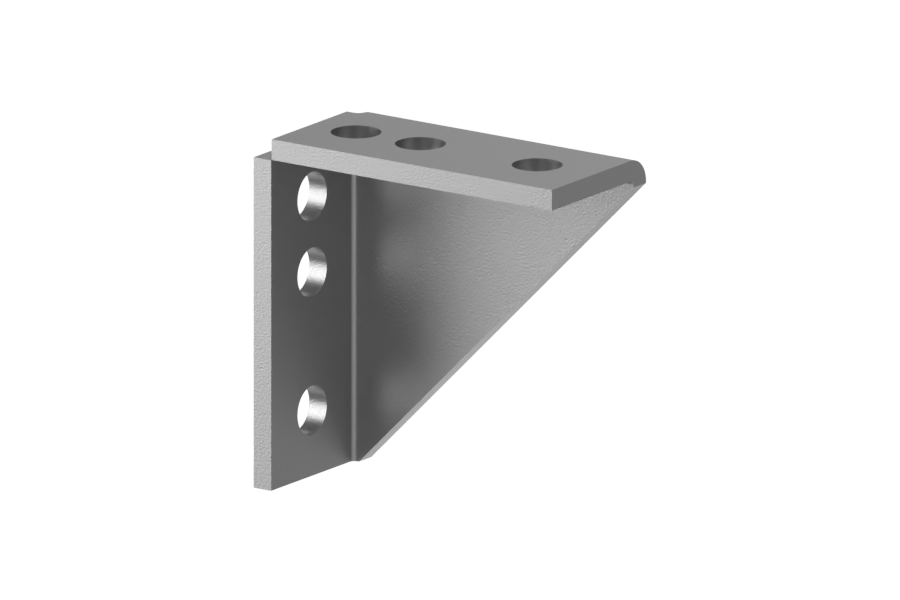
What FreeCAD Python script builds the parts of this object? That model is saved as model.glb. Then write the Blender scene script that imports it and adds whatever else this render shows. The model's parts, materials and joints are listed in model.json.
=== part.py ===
import FreeCAD, Part
import os

# Reinforced angle bracket, folded from one blank of steel plate.
#
# A triangular web stands at the back. Along each of its two short sides a flange is
# turned forward: the top flange carries the load, and the wall flange hangs from the
# corner against the wall. The flanges meet only edge to edge, and a relief in the
# corner of the blank ends both bends. Each flange has three bolt holes on one line.
#
# Frame: the origin lies on the wall face, on the axis of the upper wall hole.
# +X runs out from the wall, +Y runs from the flanges' front edges to the web, +Z is up.

# Driving dimensions, in millimetres. The reach and the drop are measured from the
# other flange's inner face, and the width from a flange's front edge to the web's back.
plate = 6.0
flange_width = 46.0
top_reach = 96.0
wall_drop = 96.0
bend_radius = 1.5

# Flat height of the web that is left beyond the bends at the two tips.
toe_height = 0.5

# Bolt holes of each flange. The first one is measured from the other flange's inner
# face, and their line from the flange's front edge.
hole_diameter = 14.3
first_hole = 15.0
close_pitch = 22.0
wide_pitch = 40.0
hole_edge_distance = 20.0

# Relief at the corner: how far it runs along each bend from the other flange's inner
# face, how far it starts ahead of the bend, and the radius in its corner.
relief_length = 4.8
relief_lead = 1.75
relief_corner_radius = 2.3

# Slit left open between the flanges, on each side of the corner.
corner_gap = 0.15

# Worked out from the sizes above.
web_front = flange_width - plate
bend_start = web_front - bend_radius
outer_bend_radius = bend_radius + plate
hole_stations = (first_hole, first_hole + close_pitch, first_hole + close_pitch + wide_pitch)

Vec = FreeCAD.Vector
X = Vec(1, 0, 0)
Y = Vec(0, 1, 0)
Z = Vec(0, 0, 1)
CORNER = Vec(0, 0, 0)
DIAGONAL = X + Z

# The functions below work in the corner's frame: its zero is the point of the corner
# where the inner faces of both flanges and the plane of the front edges meet.


def line(start, end):
    """Return a straight edge."""
    return Part.makeLine(start, end)


def quarter_arc(centre, radius, start_direction, end_direction):
    """Return an edge that turns a right angle about its centre."""
    middle_direction = (start_direction + end_direction).normalize()
    start = centre + start_direction * radius
    middle = centre + middle_direction * radius
    end = centre + end_direction * radius
    return Part.Arc(start, middle, end).toShape()


def face_inside(edges):
    """Return the flat face inside a closed run of edges."""
    return Part.Face(Part.Wire(edges))


def leg_section():
    """Return the section across the top leg: the flat flange, then the bend down to the web."""
    front_low = Vec(0, 0, 0)
    front_high = Vec(0, 0, plate)
    bend_low = Vec(0, bend_start, 0)
    bend_high = Vec(0, bend_start, plate)
    bend_centre = Vec(0, bend_start, -bend_radius)
    web_inner = Vec(0, web_front, -bend_radius)
    web_outer = Vec(0, flange_width, -bend_radius)
    return face_inside(
        [
            line(front_high, front_low),
            line(front_low, bend_low),
            quarter_arc(bend_centre, bend_radius, Z, Y),
            line(web_inner, web_outer),
            quarter_arc(bend_centre, outer_bend_radius, Y, Z),
            line(bend_high, front_high),
        ]
    )


def bend_relief():
    """Return the cutter that ends the top leg's bend short of the corner."""
    near_side = bend_start - relief_lead
    far_side = flange_width + plate
    behind = -plate
    arc_centre = Vec(relief_length - relief_corner_radius, near_side + relief_corner_radius, 0)
    arc_start = arc_centre - Y * relief_corner_radius
    arc_end = arc_centre + X * relief_corner_radius
    near_corner = Vec(behind, near_side, 0)
    far_corner = Vec(behind, far_side, 0)
    far_end = Vec(relief_length, far_side, 0)
    outline = face_inside(
        [
            line(near_corner, arc_start),
            quarter_arc(arc_centre, relief_corner_radius, -Y, X),
            line(arc_end, far_end),
            line(far_end, far_corner),
            line(far_corner, near_corner),
        ]
    )
    outline.translate(Z * -bend_radius)
    return outline.extrude(Z * (2 * outer_bend_radius))


def leg(length):
    """Return the top leg with its bend, relief and bolt holes, running along +X."""
    section = leg_section()
    section.translate(X * corner_gap)
    body = section.extrude(X * (length - corner_gap))
    body = body.cut(bend_relief())
    for station in hole_stations:
        foot = Vec(station, hole_edge_distance, -plate)
        body = body.cut(Part.makeCylinder(hole_diameter / 2, 3 * plate, foot, Z))
    return body


def web():
    """Return the flat web between the two bends, with its corner cut round."""
    toe = bend_radius + toe_height
    inner_corner = Vec(bend_radius, web_front, -bend_radius)
    outline = Part.Face(
        Part.makePolygon(
            [
                inner_corner,
                Vec(top_reach, web_front, -bend_radius),
                Vec(top_reach, web_front, -toe),
                Vec(toe, web_front, -wall_drop),
                Vec(bend_radius, web_front, -wall_drop),
                inner_corner,
            ]
        )
    )
    relief_radius = relief_length - bend_radius
    return outline.extrude(Y * plate).cut(Part.makeCylinder(relief_radius, plate, inner_corner, Y))


def angle_bracket():
    """Return the whole folded plate in the part's own frame."""
    top_leg = leg(top_reach)
    wall_leg = leg(wall_drop).mirror(CORNER, DIAGONAL)
    body = top_leg.fuse([wall_leg, web()]).removeSplitter().Solids[0]
    body.translate(Vec(plate, -hole_edge_distance, first_hole))
    return body


os.makedirs("parts", exist_ok=True)
angle_bracket().exportStep("parts/angle_bracket.step")
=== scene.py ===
import json
import logging
import math
from dataclasses import dataclass, field
from enum import Enum, IntEnum

import bmesh
import bpy
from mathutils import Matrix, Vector


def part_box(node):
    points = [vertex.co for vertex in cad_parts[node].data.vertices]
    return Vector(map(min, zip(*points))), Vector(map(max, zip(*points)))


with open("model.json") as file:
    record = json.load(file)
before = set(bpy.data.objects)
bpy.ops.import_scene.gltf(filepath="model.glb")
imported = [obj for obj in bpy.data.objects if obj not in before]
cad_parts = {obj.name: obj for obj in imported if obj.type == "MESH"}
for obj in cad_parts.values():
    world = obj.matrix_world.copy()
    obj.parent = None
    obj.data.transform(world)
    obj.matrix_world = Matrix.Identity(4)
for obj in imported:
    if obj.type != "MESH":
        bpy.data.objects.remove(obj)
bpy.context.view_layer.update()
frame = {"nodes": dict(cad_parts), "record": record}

LOG = logging.getLogger("bracket_scene")
MM = 0.001
WHITE = (1.0, 1.0, 1.0, 1.0)

# A face runs along an axis where the axis takes less than this part of its normal.
ALONG_LIMIT = 0.5

# Nearly all values of the noise lie between these two.
NOISE_LOW, NOISE_HIGH = 0.3, 0.7

Node = bpy.types.Node
Socket = bpy.types.NodeSocket
Value = Socket | float


class Axis(IntEnum):
    """The frame's axes, numbered as in a vector."""

    X = 0
    Y = 1
    Z = 2


@dataclass(frozen=True)
class Look:
    """How one kind of surface takes the light.

    A slow cloud moves the grey and the roughness by up to half the mottle each way. The grain's depth
    is in metres.
    """

    grey: float
    roughness: float
    mottle: float
    grain_depth: float


class Surface(Enum):
    """The kinds of surface on the plate."""

    COATED = Look(grey=0.50, roughness=0.55, mottle=0.03, grain_depth=0.07 * MM)
    # The holes' grey, a little darker than the coat's, is painted shade inside the holes; their lower
    # roughness is the finish.
    WALL_BORE = Look(grey=0.44, roughness=0.36, mottle=0.03, grain_depth=0.055 * MM)
    TOP_BORE = Look(grey=0.44, roughness=0.42, mottle=0.03, grain_depth=0.01 * MM)
    # The inner bends' much lighter grey is a painted highlight for the light that falls into them; their
    # lower roughness is the finish.
    CREASED = Look(grey=0.85, roughness=0.50, mottle=0.03, grain_depth=0.04 * MM)


def add_object(name: str, data: bpy.types.ID) -> bpy.types.Object:
    """Make an object and put it in the scene.

    Args:
        name: Name of the object.
        data: The mesh, lamp or camera that it shows.

    Returns:
        The new object.
    """
    made = bpy.data.objects.new(name, data)
    bpy.context.scene.collection.objects.link(made)
    return made


class Graph:
    """A short way to write a shader: each method adds one step and returns its output."""

    def __init__(self, owner: bpy.types.Material | bpy.types.World) -> None:
        """Start the owner's shader from nothing.

        Args:
            owner: The material or world that the shader belongs to.
        """
        owner.use_nodes = True
        self.tree = owner.node_tree
        self.tree.nodes.clear()

    def node(self, kind: str, **settings: object) -> Node:
        """Add a node and set its properties.

        Args:
            kind: The node's type name.
            settings: Properties of the node, by name.

        Returns:
            The new node.
        """
        made = self.tree.nodes.new(kind)
        for name, value in settings.items():
            setattr(made, name, value)
        return made

    def feed(self, socket: Socket, value: Value | tuple) -> None:
        """Link a socket to another one, or set its value.

        Args:
            socket: The socket that takes the value.
            value: Another node's output, or a number, vector or colour.
        """
        if isinstance(value, bpy.types.NodeSocket):
            self.tree.links.new(value, socket)
        else:
            socket.default_value = value

    def show(self, shader: Socket, output: str = "ShaderNodeOutputMaterial") -> None:
        """Make a shader the surface that the tree gives."""
        self.feed(self.node(output).inputs["Surface"], shader)

    def math(self, operation: str, first: Value, second: Value = 0.0, third: Value = 0.0) -> Socket:
        """Work out one arithmetic step.

        Args:
            operation: The Math node's operation.
            first: First number.
            second: Second number, where the operation has one.
            third: Third number, where the operation has one.

        Returns:
            The result.
        """
        made = self.node("ShaderNodeMath", operation=operation)
        for socket, value in zip(made.inputs, (first, second, third)):
            self.feed(socket, value)
        return made.outputs[0]

    def ramp(self, value: Value, low: float, high: float, start: float, end: float) -> Socket:
        """Carry a value smoothly from one range to another, and hold it beyond the ends.

        Args:
            value: The value to carry.
            low: Value that gives start.
            high: Value that gives end.
            start: Result at low.
            end: Result at high.

        Returns:
            The carried value.
        """
        made = self.node("ShaderNodeMapRange", interpolation_type="SMOOTHSTEP")
        for socket, number in zip(made.inputs, (value, low, high, start, end)):
            self.feed(socket, number)
        return made.outputs[0]

    def noise(self, place: Socket, scale: float, detail: float = 1.0, roughness: float = 0.5) -> Socket:
        """Add fractal noise.

        Args:
            place: Where the noise is read, in metres.
            scale: Features in a metre.
            detail: Number of finer layers over the first one.
            roughness: Strength of each layer against the one before it.

        Returns:
            The noise, from 0 to 1.
        """
        made = self.node("ShaderNodeTexNoise", noise_dimensions="3D")
        self.feed(made.inputs["Vector"], place)
        self.feed(made.inputs["Scale"], scale)
        self.feed(made.inputs["Detail"], detail)
        self.feed(made.inputs["Roughness"], roughness)
        return made.outputs["Fac"]

    def ripple(self, place: Socket, scale: float, detail: float = 1.0, roughness: float = 0.5) -> Socket:
        """Return fractal noise that swings about zero, by up to a half each way."""
        return self.math("SUBTRACT", self.noise(place, scale, detail, roughness), 0.5)

    def stretched(self, place: Socket, scale: tuple[float, float, float]) -> Socket:
        """Scale a place along each axis, which draws a pattern out along the small ones.

        Args:
            place: The place to scale.
            scale: Factor along each axis.

        Returns:
            The scaled place.
        """
        made = self.node("ShaderNodeMapping", vector_type="POINT")
        self.feed(made.inputs["Vector"], place)
        self.feed(made.inputs["Scale"], scale)
        return made.outputs[0]

    def split(self, vector: Socket) -> list[Socket]:
        """Take a vector apart.

        Args:
            vector: The vector.

        Returns:
            Its parts along the three axes.
        """
        made = self.node("ShaderNodeSeparateXYZ")
        self.feed(made.inputs[0], vector)
        return list(made.outputs)

    def mix(self, share: Value, first: Value, second: Value) -> Socket:
        """Find a value between two others.

        Args:
            share: How far the result lies from the first value to the second, from 0 to 1.
            first: Result at a share of 0.
            second: Result at a share of 1.

        Returns:
            The value between them.
        """
        made = self.node("ShaderNodeMix", data_type="FLOAT")
        self.feed(made.inputs[0], share)
        self.feed(made.inputs[2], first)
        self.feed(made.inputs[3], second)
        return made.outputs[0]

    def grey(self, value: Socket) -> Socket:
        """Make a neutral colour.

        Args:
            value: Its brightness.

        Returns:
            The colour.
        """
        made = self.node("ShaderNodeCombineColor", mode="RGB")
        for socket in made.inputs:
            self.feed(socket, value)
        return made.outputs[0]

    def runs_along(self, axis: Axis) -> Socket:
        """Return 1 on the faces that run along an axis, and 0 on those that cross it."""
        facing = self.split(self.node("ShaderNodeNewGeometry").outputs["True Normal"])
        return self.math("LESS_THAN", self.math("ABSOLUTE", facing[axis]), ALONG_LIMIT)

    def background_rays(self) -> Socket:
        """Tell the rays that show the background from those that only light the object.

        Returns:
            1 for camera, glossy and transmission rays, and 0 for the others.
        """
        path = self.node("ShaderNodeLightPath")
        seen = self.math("MAXIMUM", path.outputs["Is Camera Ray"], path.outputs["Is Glossy Ray"])
        return self.math("MAXIMUM", seen, path.outputs["Is Transmission Ray"])


@dataclass(frozen=True)
class AxisLine:
    """A line along one of the three axes, through a point."""

    point: Vector
    axis: Axis

    def distance(self, graph: Graph, place: Socket) -> Socket:
        """Work out how far a place lies from the line.

        Args:
            graph: The shader being built.
            place: The place, in metres.

        Returns:
            The distance in metres.
        """
        spot = graph.split(place)
        squares: Value = 0.0
        for axis in Axis:
            if axis != self.axis:
                offset = graph.math("SUBTRACT", spot[axis], self.point[axis])
                squares = graph.math("MULTIPLY_ADD", offset, offset, squares)
        return graph.math("SQRT", squares)


@dataclass(frozen=True)
class BoltHole:
    """One bolt hole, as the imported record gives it."""

    line: AxisLine
    radius: float


@dataclass(frozen=True)
class ZincCoat:
    """Zinc-coated plate: satin grey metal with a pebbled grain, smoother in the holes and the inner bends.
    The holes carry painted shade (a slightly darker grey), and the inner bends carry a painted highlight (a
    much lighter grey).

    The patterns' scales are in features per metre. The pebbles are drawn out a little along X.
    """

    pebbles_per_metre: float = 1700.0
    pebble_stretch: tuple[float, float, float] = (0.7, 1.0, 1.0)
    swells_per_metre: float = 400.0
    swell_share: float = 0.1
    patches_per_metre: float = 120.0
    faint_patch: float = 0.7
    strong_patch: float = 1.3
    clouds_per_metre: float = 28.0
    cloud_detail: float = 3.0
    cloud_roughness: float = 0.55
    pits_per_metre: float = 220.0
    pit_radius: float = 0.45 * MM
    pit_depth: float = 0.06 * MM
    bore_margin: float = 0.12 * MM
    crease_radius: float = 1.5 * MM
    crease_fade: float = 0.75

    def material(self, name: str, holes: list[BoltHole], creases: list[AxisLine]) -> bpy.types.Material:
        """Build the coat's shader.

        Args:
            name: Name of the new material.
            holes: The bolt holes, whose walls are smoother, with a slightly darker grey as painted shade.
            creases: The sharp lines that the inner bends round off.

        Returns:
            The finished material.
        """
        made = bpy.data.materials.new(name)
        graph = Graph(made)
        place = graph.node("ShaderNodeTexCoord").outputs["Object"]
        wall_holes = [hole for hole in holes if hole.line.axis == Axis.X]
        top_holes = [hole for hole in holes if hole.line.axis == Axis.Z]
        shares = {
            # The bore shares lay on the holes' smoother finish and their painted shade, a slightly darker
            # grey.
            Surface.WALL_BORE: self.bore_share(graph, place, wall_holes),
            Surface.TOP_BORE: self.bore_share(graph, place, top_holes),
            # The inner bends' share lays on the painted highlight, a much lighter grey.
            Surface.CREASED: self.crease_highlight_share(graph, place, creases),
        }
        cloud = graph.ripple(place, self.clouds_per_metre, self.cloud_detail, self.cloud_roughness)
        mottle = self.blend(graph, shares, "mottle")
        tone = graph.math("MULTIPLY_ADD", cloud, mottle, self.blend(graph, shares, "grey"))
        rough = graph.math("MULTIPLY_ADD", cloud, mottle, self.blend(graph, shares, "roughness"))
        grain = graph.math("MULTIPLY", self.grain(graph, place), self.blend(graph, shares, "grain_depth"))
        bore = graph.math("MAXIMUM", shares[Surface.WALL_BORE], shares[Surface.TOP_BORE])
        pits = graph.math("MULTIPLY", self.pits(graph, place), graph.math("SUBTRACT", 1.0, bore))

        bump = graph.node("ShaderNodeBump")
        graph.feed(bump.inputs["Strength"], 1.0)
        graph.feed(bump.inputs["Distance"], 1.0)
        graph.feed(bump.inputs["Height"], graph.math("MULTIPLY_ADD", pits, -self.pit_depth, grain))

        metal = graph.node("ShaderNodeBsdfPrincipled")
        graph.feed(metal.inputs["Base Color"], graph.grey(tone))
        graph.feed(metal.inputs["Metallic"], 1.0)
        graph.feed(metal.inputs["Roughness"], rough)
        graph.feed(metal.inputs["Normal"], bump.outputs["Normal"])
        graph.show(metal.outputs["BSDF"])
        return made

    def blend(self, graph: Graph, shares: dict[Surface, Socket], quality: str) -> Socket:
        """Lay one quality of each kind of surface over that of the plain coat.

        Args:
            graph: The shader being built.
            shares: Where each kind of surface is, as 1 on it and 0 off it.
            quality: Name of the quality, as in Look.

        Returns:
            The quality at each place.
        """
        value = getattr(Surface.COATED.value, quality)
        for kind, share in shares.items():
            value = graph.mix(share, value, getattr(kind.value, quality))
        return value

    def grain(self, graph: Graph, place: Socket) -> Socket:
        """Raise small pebbles on a coarser swell, stronger in some patches than in others.

        Args:
            graph: The shader being built.
            place: Position on the plate, in metres.

        Returns:
            The grain's height, from about -0.5 to 0.5.
        """
        drawn = graph.stretched(place, self.pebble_stretch)
        pebbles = graph.ripple(drawn, self.pebbles_per_metre)
        swell = graph.ripple(drawn, self.swells_per_metre)
        patch = graph.noise(place, self.patches_per_metre)
        strength = graph.ramp(patch, NOISE_LOW, NOISE_HIGH, self.faint_patch, self.strong_patch)
        return graph.math("MULTIPLY", strength, graph.math("MULTIPLY_ADD", swell, self.swell_share, pebbles))

    def pits(self, graph: Graph, place: Socket) -> Socket:
        """Scatter stray pits.

        Args:
            graph: The shader being built.
            place: Position on the plate, in metres.

        Returns:
            1 in the middle of a pit, and 0 between the pits.
        """
        cells = graph.node("ShaderNodeTexVoronoi", voronoi_dimensions="3D", feature="F1")
        graph.feed(cells.inputs["Vector"], graph.stretched(place, self.pebble_stretch))
        graph.feed(cells.inputs["Scale"], self.pits_per_metre)
        return graph.ramp(cells.outputs["Distance"], 0.0, self.pit_radius * self.pits_per_metre, 1.0, 0.0)

    def bore_share(self, graph: Graph, place: Socket, holes: list[BoltHole]) -> Socket:
        """Mark the walls of bolt holes.

        Args:
            graph: The shader being built.
            place: Position on the plate, in metres.
            holes: The bolt holes.

        Returns:
            1 on a hole's wall, and 0 elsewhere.
        """
        share: Value = 0.0
        for hole in holes:
            reach = hole.radius + self.bore_margin
            inside = graph.math("LESS_THAN", hole.line.distance(graph, place), reach)
            wall = graph.math("MULTIPLY", inside, graph.runs_along(hole.line.axis))
            share = graph.math("MAXIMUM", share, wall)
        return share

    def crease_highlight_share(self, graph: Graph, place: Socket, creases: list[AxisLine]) -> Socket:
        """Mark the inner bends, which are a little smoother and carry a painted highlight: a much lighter
        grey standing in for the light that falls into them.

        Args:
            graph: The shader being built.
            place: Position on the plate, in metres.
            creases: The sharp lines that the inner bends round off.

        Returns:
            1 in the middle of a bend, and 0 near its two edges and beyond them.
        """
        nearest = self.crease_radius * (math.sqrt(2.0) - 1.0)
        edge = self.crease_radius * self.crease_fade
        share: Value = 0.0
        for crease in creases:
            near = graph.ramp(crease.distance(graph, place), nearest, edge, 1.0, 0.0)
            bend = graph.math("MULTIPLY", near, graph.runs_along(crease.axis))
            share = graph.math("MAXIMUM", share, bend)
        return share


@dataclass
class FoldedPlate:
    """The bracket itself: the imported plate, dressed in its coat."""

    node: str = "angle_bracket"
    slot: str = "zinc_steel"
    coat: ZincCoat = field(default_factory=ZincCoat)

    def holes(self) -> list[BoltHole]:
        """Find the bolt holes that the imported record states.

        Returns:
            The bolt holes.
        """
        found = []
        for mount in frame["record"]["mounts"]:
            if mount["kind"] == "bore":
                axis = max(Axis, key=lambda one: abs(mount["axis"][one]))
                line = AxisLine(Vector(mount["pos_m"]), axis)
                found.append(BoltHole(line, mount["dims"]["r_mm"] * MM))
        return found

    def thickness(self) -> float:
        """Return the plate's thickness, which is the length of its bolt holes."""
        first = next(mount for mount in frame["record"]["mounts"] if mount["kind"] == "bore")
        return first["dims"]["length_mm"] * MM

    def corner(self) -> Vector:
        """Return the point at the front where the flanges' inner faces meet."""
        low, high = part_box(self.node)
        return Vector((low.x + self.thickness(), low.y, high.z - self.thickness()))

    def creases(self) -> list[AxisLine]:
        """Find the lines where the flanges' inner faces would meet the web's front face.

        Returns:
            The wall flange's line and the top flange's line.
        """
        corner = self.corner()
        _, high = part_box(self.node)
        meeting = Vector((corner.x, high.y - self.thickness(), corner.z))
        return [AxisLine(meeting, Axis.Z), AxisLine(meeting, Axis.X)]

    def dress(self) -> bpy.types.Object:
        """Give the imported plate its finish.

        Returns:
            The plate's object.
        """
        plate = frame["nodes"][self.node]
        plate.data.materials.clear()
        plate.data.materials.append(self.coat.material("zinc_coat", self.holes(), self.creases()))
        return plate


@dataclass
class PictureCamera:
    """A camera without perspective, at the picture's angle and scale.

    The middle of the picture lies corner_right and corner_up from the bracket's corner, as the camera
    sees them.
    """

    azimuth: float = 35.0
    elevation: float = 15.0
    picture_width: float = 900.0
    pixels_per_metre: float = 3570.0
    corner_right: float = 50.09 * MM
    corner_up: float = -39.26 * MM
    distance: float = 1.0

    def build(self, corner: Vector) -> bpy.types.Object:
        """Place the camera.

        Args:
            corner: Corner of the flanges, from which the picture's middle is measured.

        Returns:
            The camera's object.
        """
        turn, lift = math.radians(self.azimuth), math.radians(self.elevation)
        right = Vector((math.cos(turn), math.sin(turn), 0.0))
        back = Vector((math.sin(turn) * math.cos(lift), -math.cos(turn) * math.cos(lift), math.sin(lift)))
        up = back.cross(right)
        data = bpy.data.cameras.new("picture_camera")
        data.type = "ORTHO"
        data.ortho_scale = self.picture_width / self.pixels_per_metre
        camera = add_object("picture_camera", data)
        camera.location = corner + right * self.corner_right + up * self.corner_up + back * self.distance
        camera.rotation_euler = back.to_track_quat("Z", "Y").to_euler()
        bpy.context.scene.camera = camera
        return camera


@dataclass(frozen=True)
class SoftLamp:
    """One square studio lamp that points at the bracket."""

    name: str
    place: tuple[float, float, float]
    side: float
    power: float

    def build(self, target: Vector) -> bpy.types.Object:
        """Hang the lamp and turn it to a target.

        Args:
            target: Point that the lamp faces.

        Returns:
            The lamp's object.
        """
        data = bpy.data.lights.new(self.name, "AREA")
        data.shape = "SQUARE"
        data.size = self.side
        data.energy = self.power
        lamp = add_object(self.name, data)
        lamp.location = Vector(self.place)
        lamp.rotation_euler = (lamp.location - target).to_track_quat("Z", "Y").to_euler()
        lamp.visible_glossy = False
        return lamp


@dataclass(frozen=True)
class Window:
    """A bright part of the tent, in degrees: azimuth 0 is the front, 90 the right."""

    azimuth: float
    elevation: float
    half_width: float
    half_height: float
    brightness: float
    softness: float = 10.0

    def share(self, graph: Graph, azimuth: Socket, elevation: Socket) -> Socket:
        """Work out how far a direction lies inside the window.

        Args:
            graph: The shader being built.
            azimuth: The direction's azimuth, in radians.
            elevation: The direction's elevation, in radians.

        Returns:
            1 inside the window and 0 outside it, with a soft step between.
        """
        turn = graph.math("COSINE", graph.math("SUBTRACT", azimuth, math.radians(self.azimuth)))
        lift = graph.math("SUBTRACT", elevation, math.radians(self.elevation))
        across = self.within(graph, graph.math("ARCCOSINE", turn), self.half_width)
        along = self.within(graph, graph.math("ABSOLUTE", lift), self.half_height)
        return graph.math("MULTIPLY", across, along)

    def within(self, graph: Graph, angle: Socket, half: float) -> Socket:
        """Return 1 up to half the window's size from its middle, and 0 beyond, with a soft step."""
        near, far = math.radians(half - self.softness), math.radians(half + self.softness)
        return graph.ramp(angle, near, far, 1.0, 0.0)


@dataclass
class GreyTent:
    """A grey tent round the bracket, seen only in the metal, with a few soft bright windows.

    The first window is the main one, at the front left. The last one is overhead, on all sides.
    """

    radius: float = 0.85
    subdivisions: int = 4
    shade: float = 0.14
    floor_gap: float = 5 * MM
    hidden_from: tuple[str, ...] = ("camera", "diffuse", "shadow", "transmission")
    windows: tuple[Window, ...] = (
        Window(-49, 10, 17, 26, 3.70, softness=14.0),
        Window(15, 12, 11, 24, 1.25),
        Window(85, -12, 22, 20, 0.25),
        Window(145, -12, 32, 22, 0.28),
        Window(185, 33, 40, 16, 0.80),
        Window(198, -35, 22, 14, 1.72),
        Window(-100, -42, 30, 15, 0.53),
        Window(0, 90, 200, 22, 0.60, softness=15.0),
    )

    def build(self, centre: Vector, floor_height: float) -> bpy.types.Object:
        """Pitch the tent on the floor.

        Args:
            centre: Point that the tent surrounds.
            floor_height: Height of the floor.

        Returns:
            The tent's object.
        """
        shape = bmesh.new()
        bmesh.ops.create_icosphere(shape, subdivisions=self.subdivisions, radius=self.radius)
        lowest = floor_height + self.floor_gap - centre.z
        for corner in shape.verts:
            corner.co.z = max(corner.co.z, lowest)
        mesh = bpy.data.meshes.new("grey_tent")
        shape.to_mesh(mesh)
        shape.free()
        tent = add_object("grey_tent", mesh)
        tent.location = centre
        tent.data.materials.append(self.material())
        for ray in self.hidden_from:
            setattr(tent, "visible_" + ray, False)
        return tent

    def material(self) -> bpy.types.Material:
        """Make the tent's own light, bright at the windows.

        Returns:
            The tent's material.
        """
        made = bpy.data.materials.new("grey_tent")
        graph = Graph(made)
        x, y, z = graph.split(graph.node("ShaderNodeTexCoord").outputs["Object"])
        azimuth = graph.math("ARCTAN2", x, graph.math("MULTIPLY", y, -1.0))
        level = graph.math("SQRT", graph.math("MULTIPLY_ADD", x, x, graph.math("MULTIPLY", y, y)))
        elevation = graph.math("ARCTAN2", z, level)
        brightness: Value = self.shade
        for window in self.windows:
            share = window.share(graph, azimuth, elevation)
            brightness = graph.math("MULTIPLY_ADD", share, window.brightness, brightness)
        glow = graph.node("ShaderNodeEmission")
        graph.feed(glow.inputs["Strength"], brightness)
        graph.show(glow.outputs[0])
        return made


@dataclass
class PaleFloor:
    """A wide matt floor, which looks white and keeps the shadow.

    The glow is added only to the rays that show the background.
    """

    side: float = 8.0
    grey: float = 0.8
    glow: float = 0.63

    def build(self, height: float) -> bpy.types.Object:
        """Lay the floor.

        Args:
            height: Height of the floor.

        Returns:
            The floor's object.
        """
        half = self.side / 2
        corners = [(-half, -half, height), (half, -half, height), (half, half, height), (-half, half, height)]
        mesh = bpy.data.meshes.new("floor")
        mesh.from_pydata(corners, [], [(0, 1, 2, 3)])
        mesh.materials.append(self.material())
        floor = add_object("floor", mesh)
        return floor

    def material(self) -> bpy.types.Material:
        """Make the matt grey and its glow.

        Returns:
            The floor's material.
        """
        made = bpy.data.materials.new("pale_floor")
        graph = Graph(made)
        matt = graph.node("ShaderNodeBsdfDiffuse")
        graph.feed(matt.inputs["Color"], (self.grey, self.grey, self.grey, 1.0))
        shine = graph.node("ShaderNodeEmission")
        graph.feed(shine.inputs["Strength"], graph.math("MULTIPLY", graph.background_rays(), self.glow))
        both = graph.node("ShaderNodeAddShader")
        graph.feed(both.inputs[0], matt.outputs[0])
        graph.feed(both.inputs[1], shine.outputs[0])
        graph.show(both.outputs[0])
        return made


@dataclass
class Studio:
    """Pale floor, white surroundings and soft lamps, with the grey tent that the metal mirrors."""

    floor_drop: float = 0.15
    ambient: float = 0.48
    floor: PaleFloor = field(default_factory=PaleFloor)
    tent: GreyTent = field(default_factory=GreyTent)
    lamps: tuple[SoftLamp, ...] = (
        SoftLamp("key_lamp", (-0.65, -0.85, 0.30), 0.55, 3.0),
        SoftLamp("fill_lamp", (0.70, -0.70, 0.60), 0.8, 1.5),
    )

    def build(self, target: Vector, lowest: float) -> list[bpy.types.Object]:
        """Make the whole studio.

        Args:
            target: Point that the lamps face.
            lowest: Height of the bracket's lowest point.

        Returns:
            The floor, the tent and the lamps.
        """
        self.white_surroundings()
        floor_height = lowest - self.floor_drop
        pieces = [self.floor.build(floor_height), self.tent.build(target, floor_height)]
        return pieces + [lamp.build(target) for lamp in self.lamps]

    def white_surroundings(self) -> None:
        """Make the world white to the rays that show it, and a soft light to the others."""
        world = bpy.data.worlds.new("studio")
        bpy.context.scene.world = world
        graph = Graph(world)
        sky = graph.node("ShaderNodeBackground")
        graph.feed(sky.inputs["Color"], WHITE)
        graph.feed(sky.inputs["Strength"], graph.mix(graph.background_rays(), self.ambient, 1.0))
        graph.show(sky.outputs[0], "ShaderNodeOutputWorld")


def main() -> None:
    """Dress the bracket, and set the camera and the studio round it."""
    logging.basicConfig(level=logging.INFO)
    bpy.context.scene.view_settings.view_transform = "Standard"
    bracket = FoldedPlate()
    plate = bracket.dress()
    LOG.info("%s wears its coat", plate.name)
    low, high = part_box(bracket.node)
    camera = PictureCamera().build(bracket.corner())
    pieces = Studio().build((low + high) / 2, low.z)
    for piece in [camera, *pieces]:
        LOG.info("%s is in place", piece.name)


if __name__ == "__main__":
    main()
